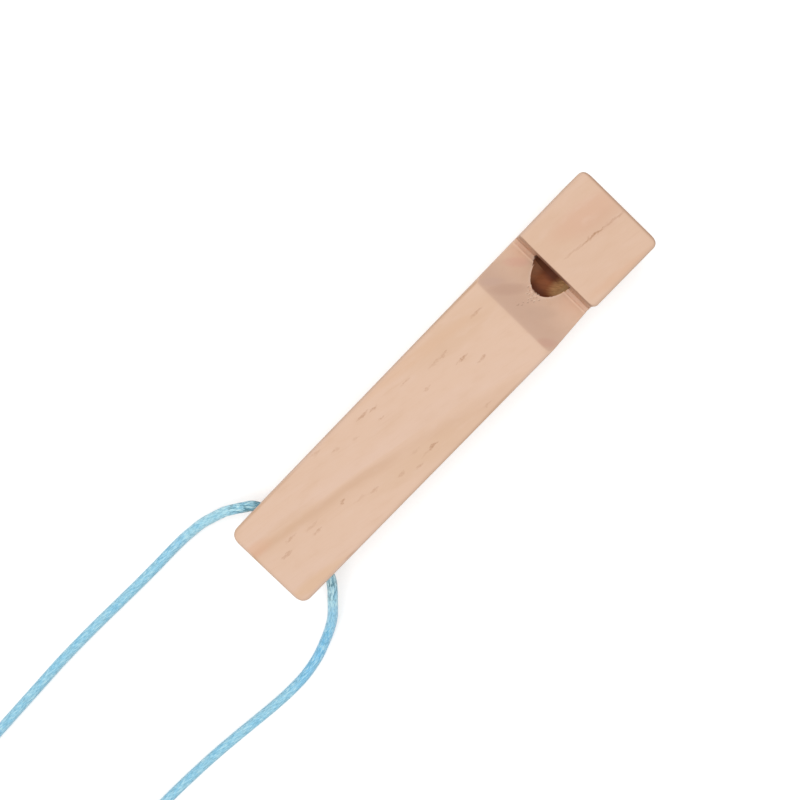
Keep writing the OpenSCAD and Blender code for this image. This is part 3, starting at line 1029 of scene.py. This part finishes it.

    # where a fibre tore out of the ramp it left a dark nick, with a painted highlight along one edge
    torn, nickLitSide = 0.0, 0.0
    crookedX, crookedY = x * 0.6 + bentX * 0.4, y * 0.5 + bentY * 0.5
    for along, over, length in nicks:
        far, across = oval(
            crookedX, crookedY, along, over, length / 2, pine["nickWide"], pine["nickSlant"])
        nick = wood.rise(far, 1.8, 0.1)
        torn = nick + torn
        nickLitSide = nick * wood.rise(across, -0.1, 0.3) + nickLitSide
    ragged = wood.noiseAt(x * 5, y * 9, 0, 2.0, 0.6) * rampFace
    lay((torn - nickLitSide) * ragged * 0.75, pine["nick"])
    lay(nickLitSide * ragged * wood.rise(fromFoot, -7.8, -5.6), pine["nickHighlight"])

    # a painted highlight round the window's lip, the bore's painted light and shade, and painted shade
    # in the windway's mouth
    fromBore = (y * y + (z - body["boreZ"]) ** 2) ** 0.5
    lay(wood.rise(fromBore, radius + 0.45, radius + 0.10) * rampFace * 0.6, pine["lip"])
    inBore = wood.rise(fromBore, radius + 0.08, radius + 0.02)
    inBore = inBore * wood.rise(x, body["boreFrom"] - 0.3, body["boreFrom"] - 0.1)
    left = wood.rise(y, -3.6, -0.6)
    base = wood.mix(inBore, base, boreColour(wood, x, y, z, left))
    inMouth = wood.rise(fromWall, -0.05, 0.05) * wood.rise(fromWall, 2.8, 1.8)
    inMouth = inMouth * wood.rise(abs(y), 5.1, 5.0) * wood.rise(z, 15.0, 14.92)
    lay(inMouth * left * 0.8, pine["mouth"])

    saw = wood.noiseAt(x * 5.5, y * 0.12, z * 5.5)
    height = streak * 0.5 + hair * 0.5 - canal * 0.6 + saw * endGrain * 0.8
    return wood.finish({
        "Base Color": base,
        "Roughness": 0.58 + streak * 0.14 + endGrain * 0.1,
        "Normal": wood.bump(height, 0.35, pine["relief"]),
        "Specular IOR Level": 0.35,
    })


dowel = {
    "wood": (222, 190, 150),
    "late": (196, 154, 110),
    "streak": (188, 148, 106),
    "endGrain": (178, 134, 94),
    "heartY": 6.5,  # mm, where the tree's middle lay
    "heartZ": 1.0,
    "ring": 1.25,   # mm between growth rings
}


# rings round the tree's middle, which lay beside the dowel
def dowelFinish():
    wood = Nodes(bpy.data.materials.new("dowel wood"))
    x, y, z = wood.place()
    endGrain = wood.rise(abs(wood.facing()[0]), 0.3, 0.9)
    warp = wood.noiseAt(x * 0.05, y * 0.3, z * 0.3)
    across = y - dowel["heartY"] + (warp - 0.5) * 1.2
    up = z - dowel["heartZ"]
    ring = ((across * across + up * up) ** 0.5) / dowel["ring"]
    phase = ring.math("FRACT")
    late = wood.rise(phase, 0.25, 0.9) * wood.rise(phase, 1.0, 0.93)
    streak = wood.noiseAt(x * 0.14, y * 5, z * 5, 4.0, 0.6)
    base = wood.coats(paint(dowel["wood"]), dowel, [
        (late * 0.6, "late"),
        (wood.rise(streak, 0.45, 0.75) * 0.4, "streak"),
        (endGrain * 0.35, "endGrain"),
    ])
    return wood.finish({
        "Base Color": base,
        "Roughness": 0.6 + streak * 0.12,
        "Normal": wood.bump(streak, 0.35, 0.00006),
        "Specular IOR Level": 0.35,
    })


fibres = {
    "count": 90,
    "length": (0.25, 0.9),  # mm
    "thick": 0.045,         # mm, radius at the root
    "over": 0.18,           # mm that a strand may reach out over the window
    "middle": 0.3,          # mm across, where they crowd
    "crowd": 0.8,           # mm, spread of two in three
    "spread": 2.2,          # and of the third
    "within": (-3.6, 3.9),  # mm across
    "back": 0.6,            # mm, spread of the room that every fourth leaves before the window
    "turn": 0.5,            # radians, spread of the turn from the body's length
    "sides": 5,
    "seed": 11,
    "wood": (226, 190, 164),
    "pale": (242, 216, 196),
}


# strand(t) = root + t * run + t * (1.3 - t) * lift, on the ramp round the window and a little over it
def fibreTubes():
    draw = np.random.default_rng(fibres["seed"])
    slope = body["depth"] / (body["wallX"] - body["kerf"] - body["rampX"])
    tubes = []
    t = np.linspace(0, 1, 6)[:, None]
    for strand in range(fibres["count"]):
        spread = fibres["crowd"] if strand % 3 else fibres["spread"]
        y = np.clip(draw.normal(fibres["middle"], spread), *fibres["within"])
        high = math.sqrt(body["boreRadius"] ** 2 - y * y) + body["boreZ"]
        edge = body["rampX"] + (body["height"] - high) / slope
        length = draw.uniform(*fibres["length"])
        turn = draw.normal(0.0, fibres["turn"])
        if strand % 4:
            out = draw.uniform(-0.5, 1.0) * fibres["over"]
        else:
            out = -abs(draw.normal(0.0, fibres["back"]))
        x = edge + out - length * math.cos(turn)
        run = np.array([math.cos(turn), math.sin(turn), -slope * math.cos(turn)]) * length
        root = np.array([x, y - length * math.sin(turn), body["height"] - slope * (x - body["rampX"])])
        lift = np.array([0, draw.normal(0, 0.2), draw.uniform(0.05, 0.25)]) * length
        line = root + t * run + t * (1.3 - t) * lift
        radius = fibres["thick"] * draw.uniform(0.6, 1.2) * (1 - 0.8 * t[:, 0])
        tubes.append(tubeRings(line, radius, fibres["sides"]))
    return tubes


def fibreFinish():
    wood = Nodes(bpy.data.materials.new("torn fibres"))
    place = wood.add("ShaderNodeTexCoord", None, None, "Object")
    cloud = wood.noise(place, 1800.0, 2.0)
    base = wood.mix(wood.rise(cloud, 0.35, 0.65), paint(fibres["wood"]), paint(fibres["pale"]))
    return wood.finish({"Base Color": base, "Roughness": 0.6 + cloud * 0.1, "Specular IOR Level": 0.35})


pineWood = pineFinish()
pineBody = carveBody()
pineBody.data.materials.clear()
pineBody.data.materials.append(pineWood)
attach(pineBody, "root")
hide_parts("whistle_body")
print("body carved:", len(pineBody.data.polygons), "faces")
addPiece("lip_fibres", tubeMesh("lip_fibres", fibreTubes()), fibreFinish(), "pine")

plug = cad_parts["fipple_plug"]
plug.data.materials.clear()
plug.data.materials.append(dowelFinish())
print("plug finished")
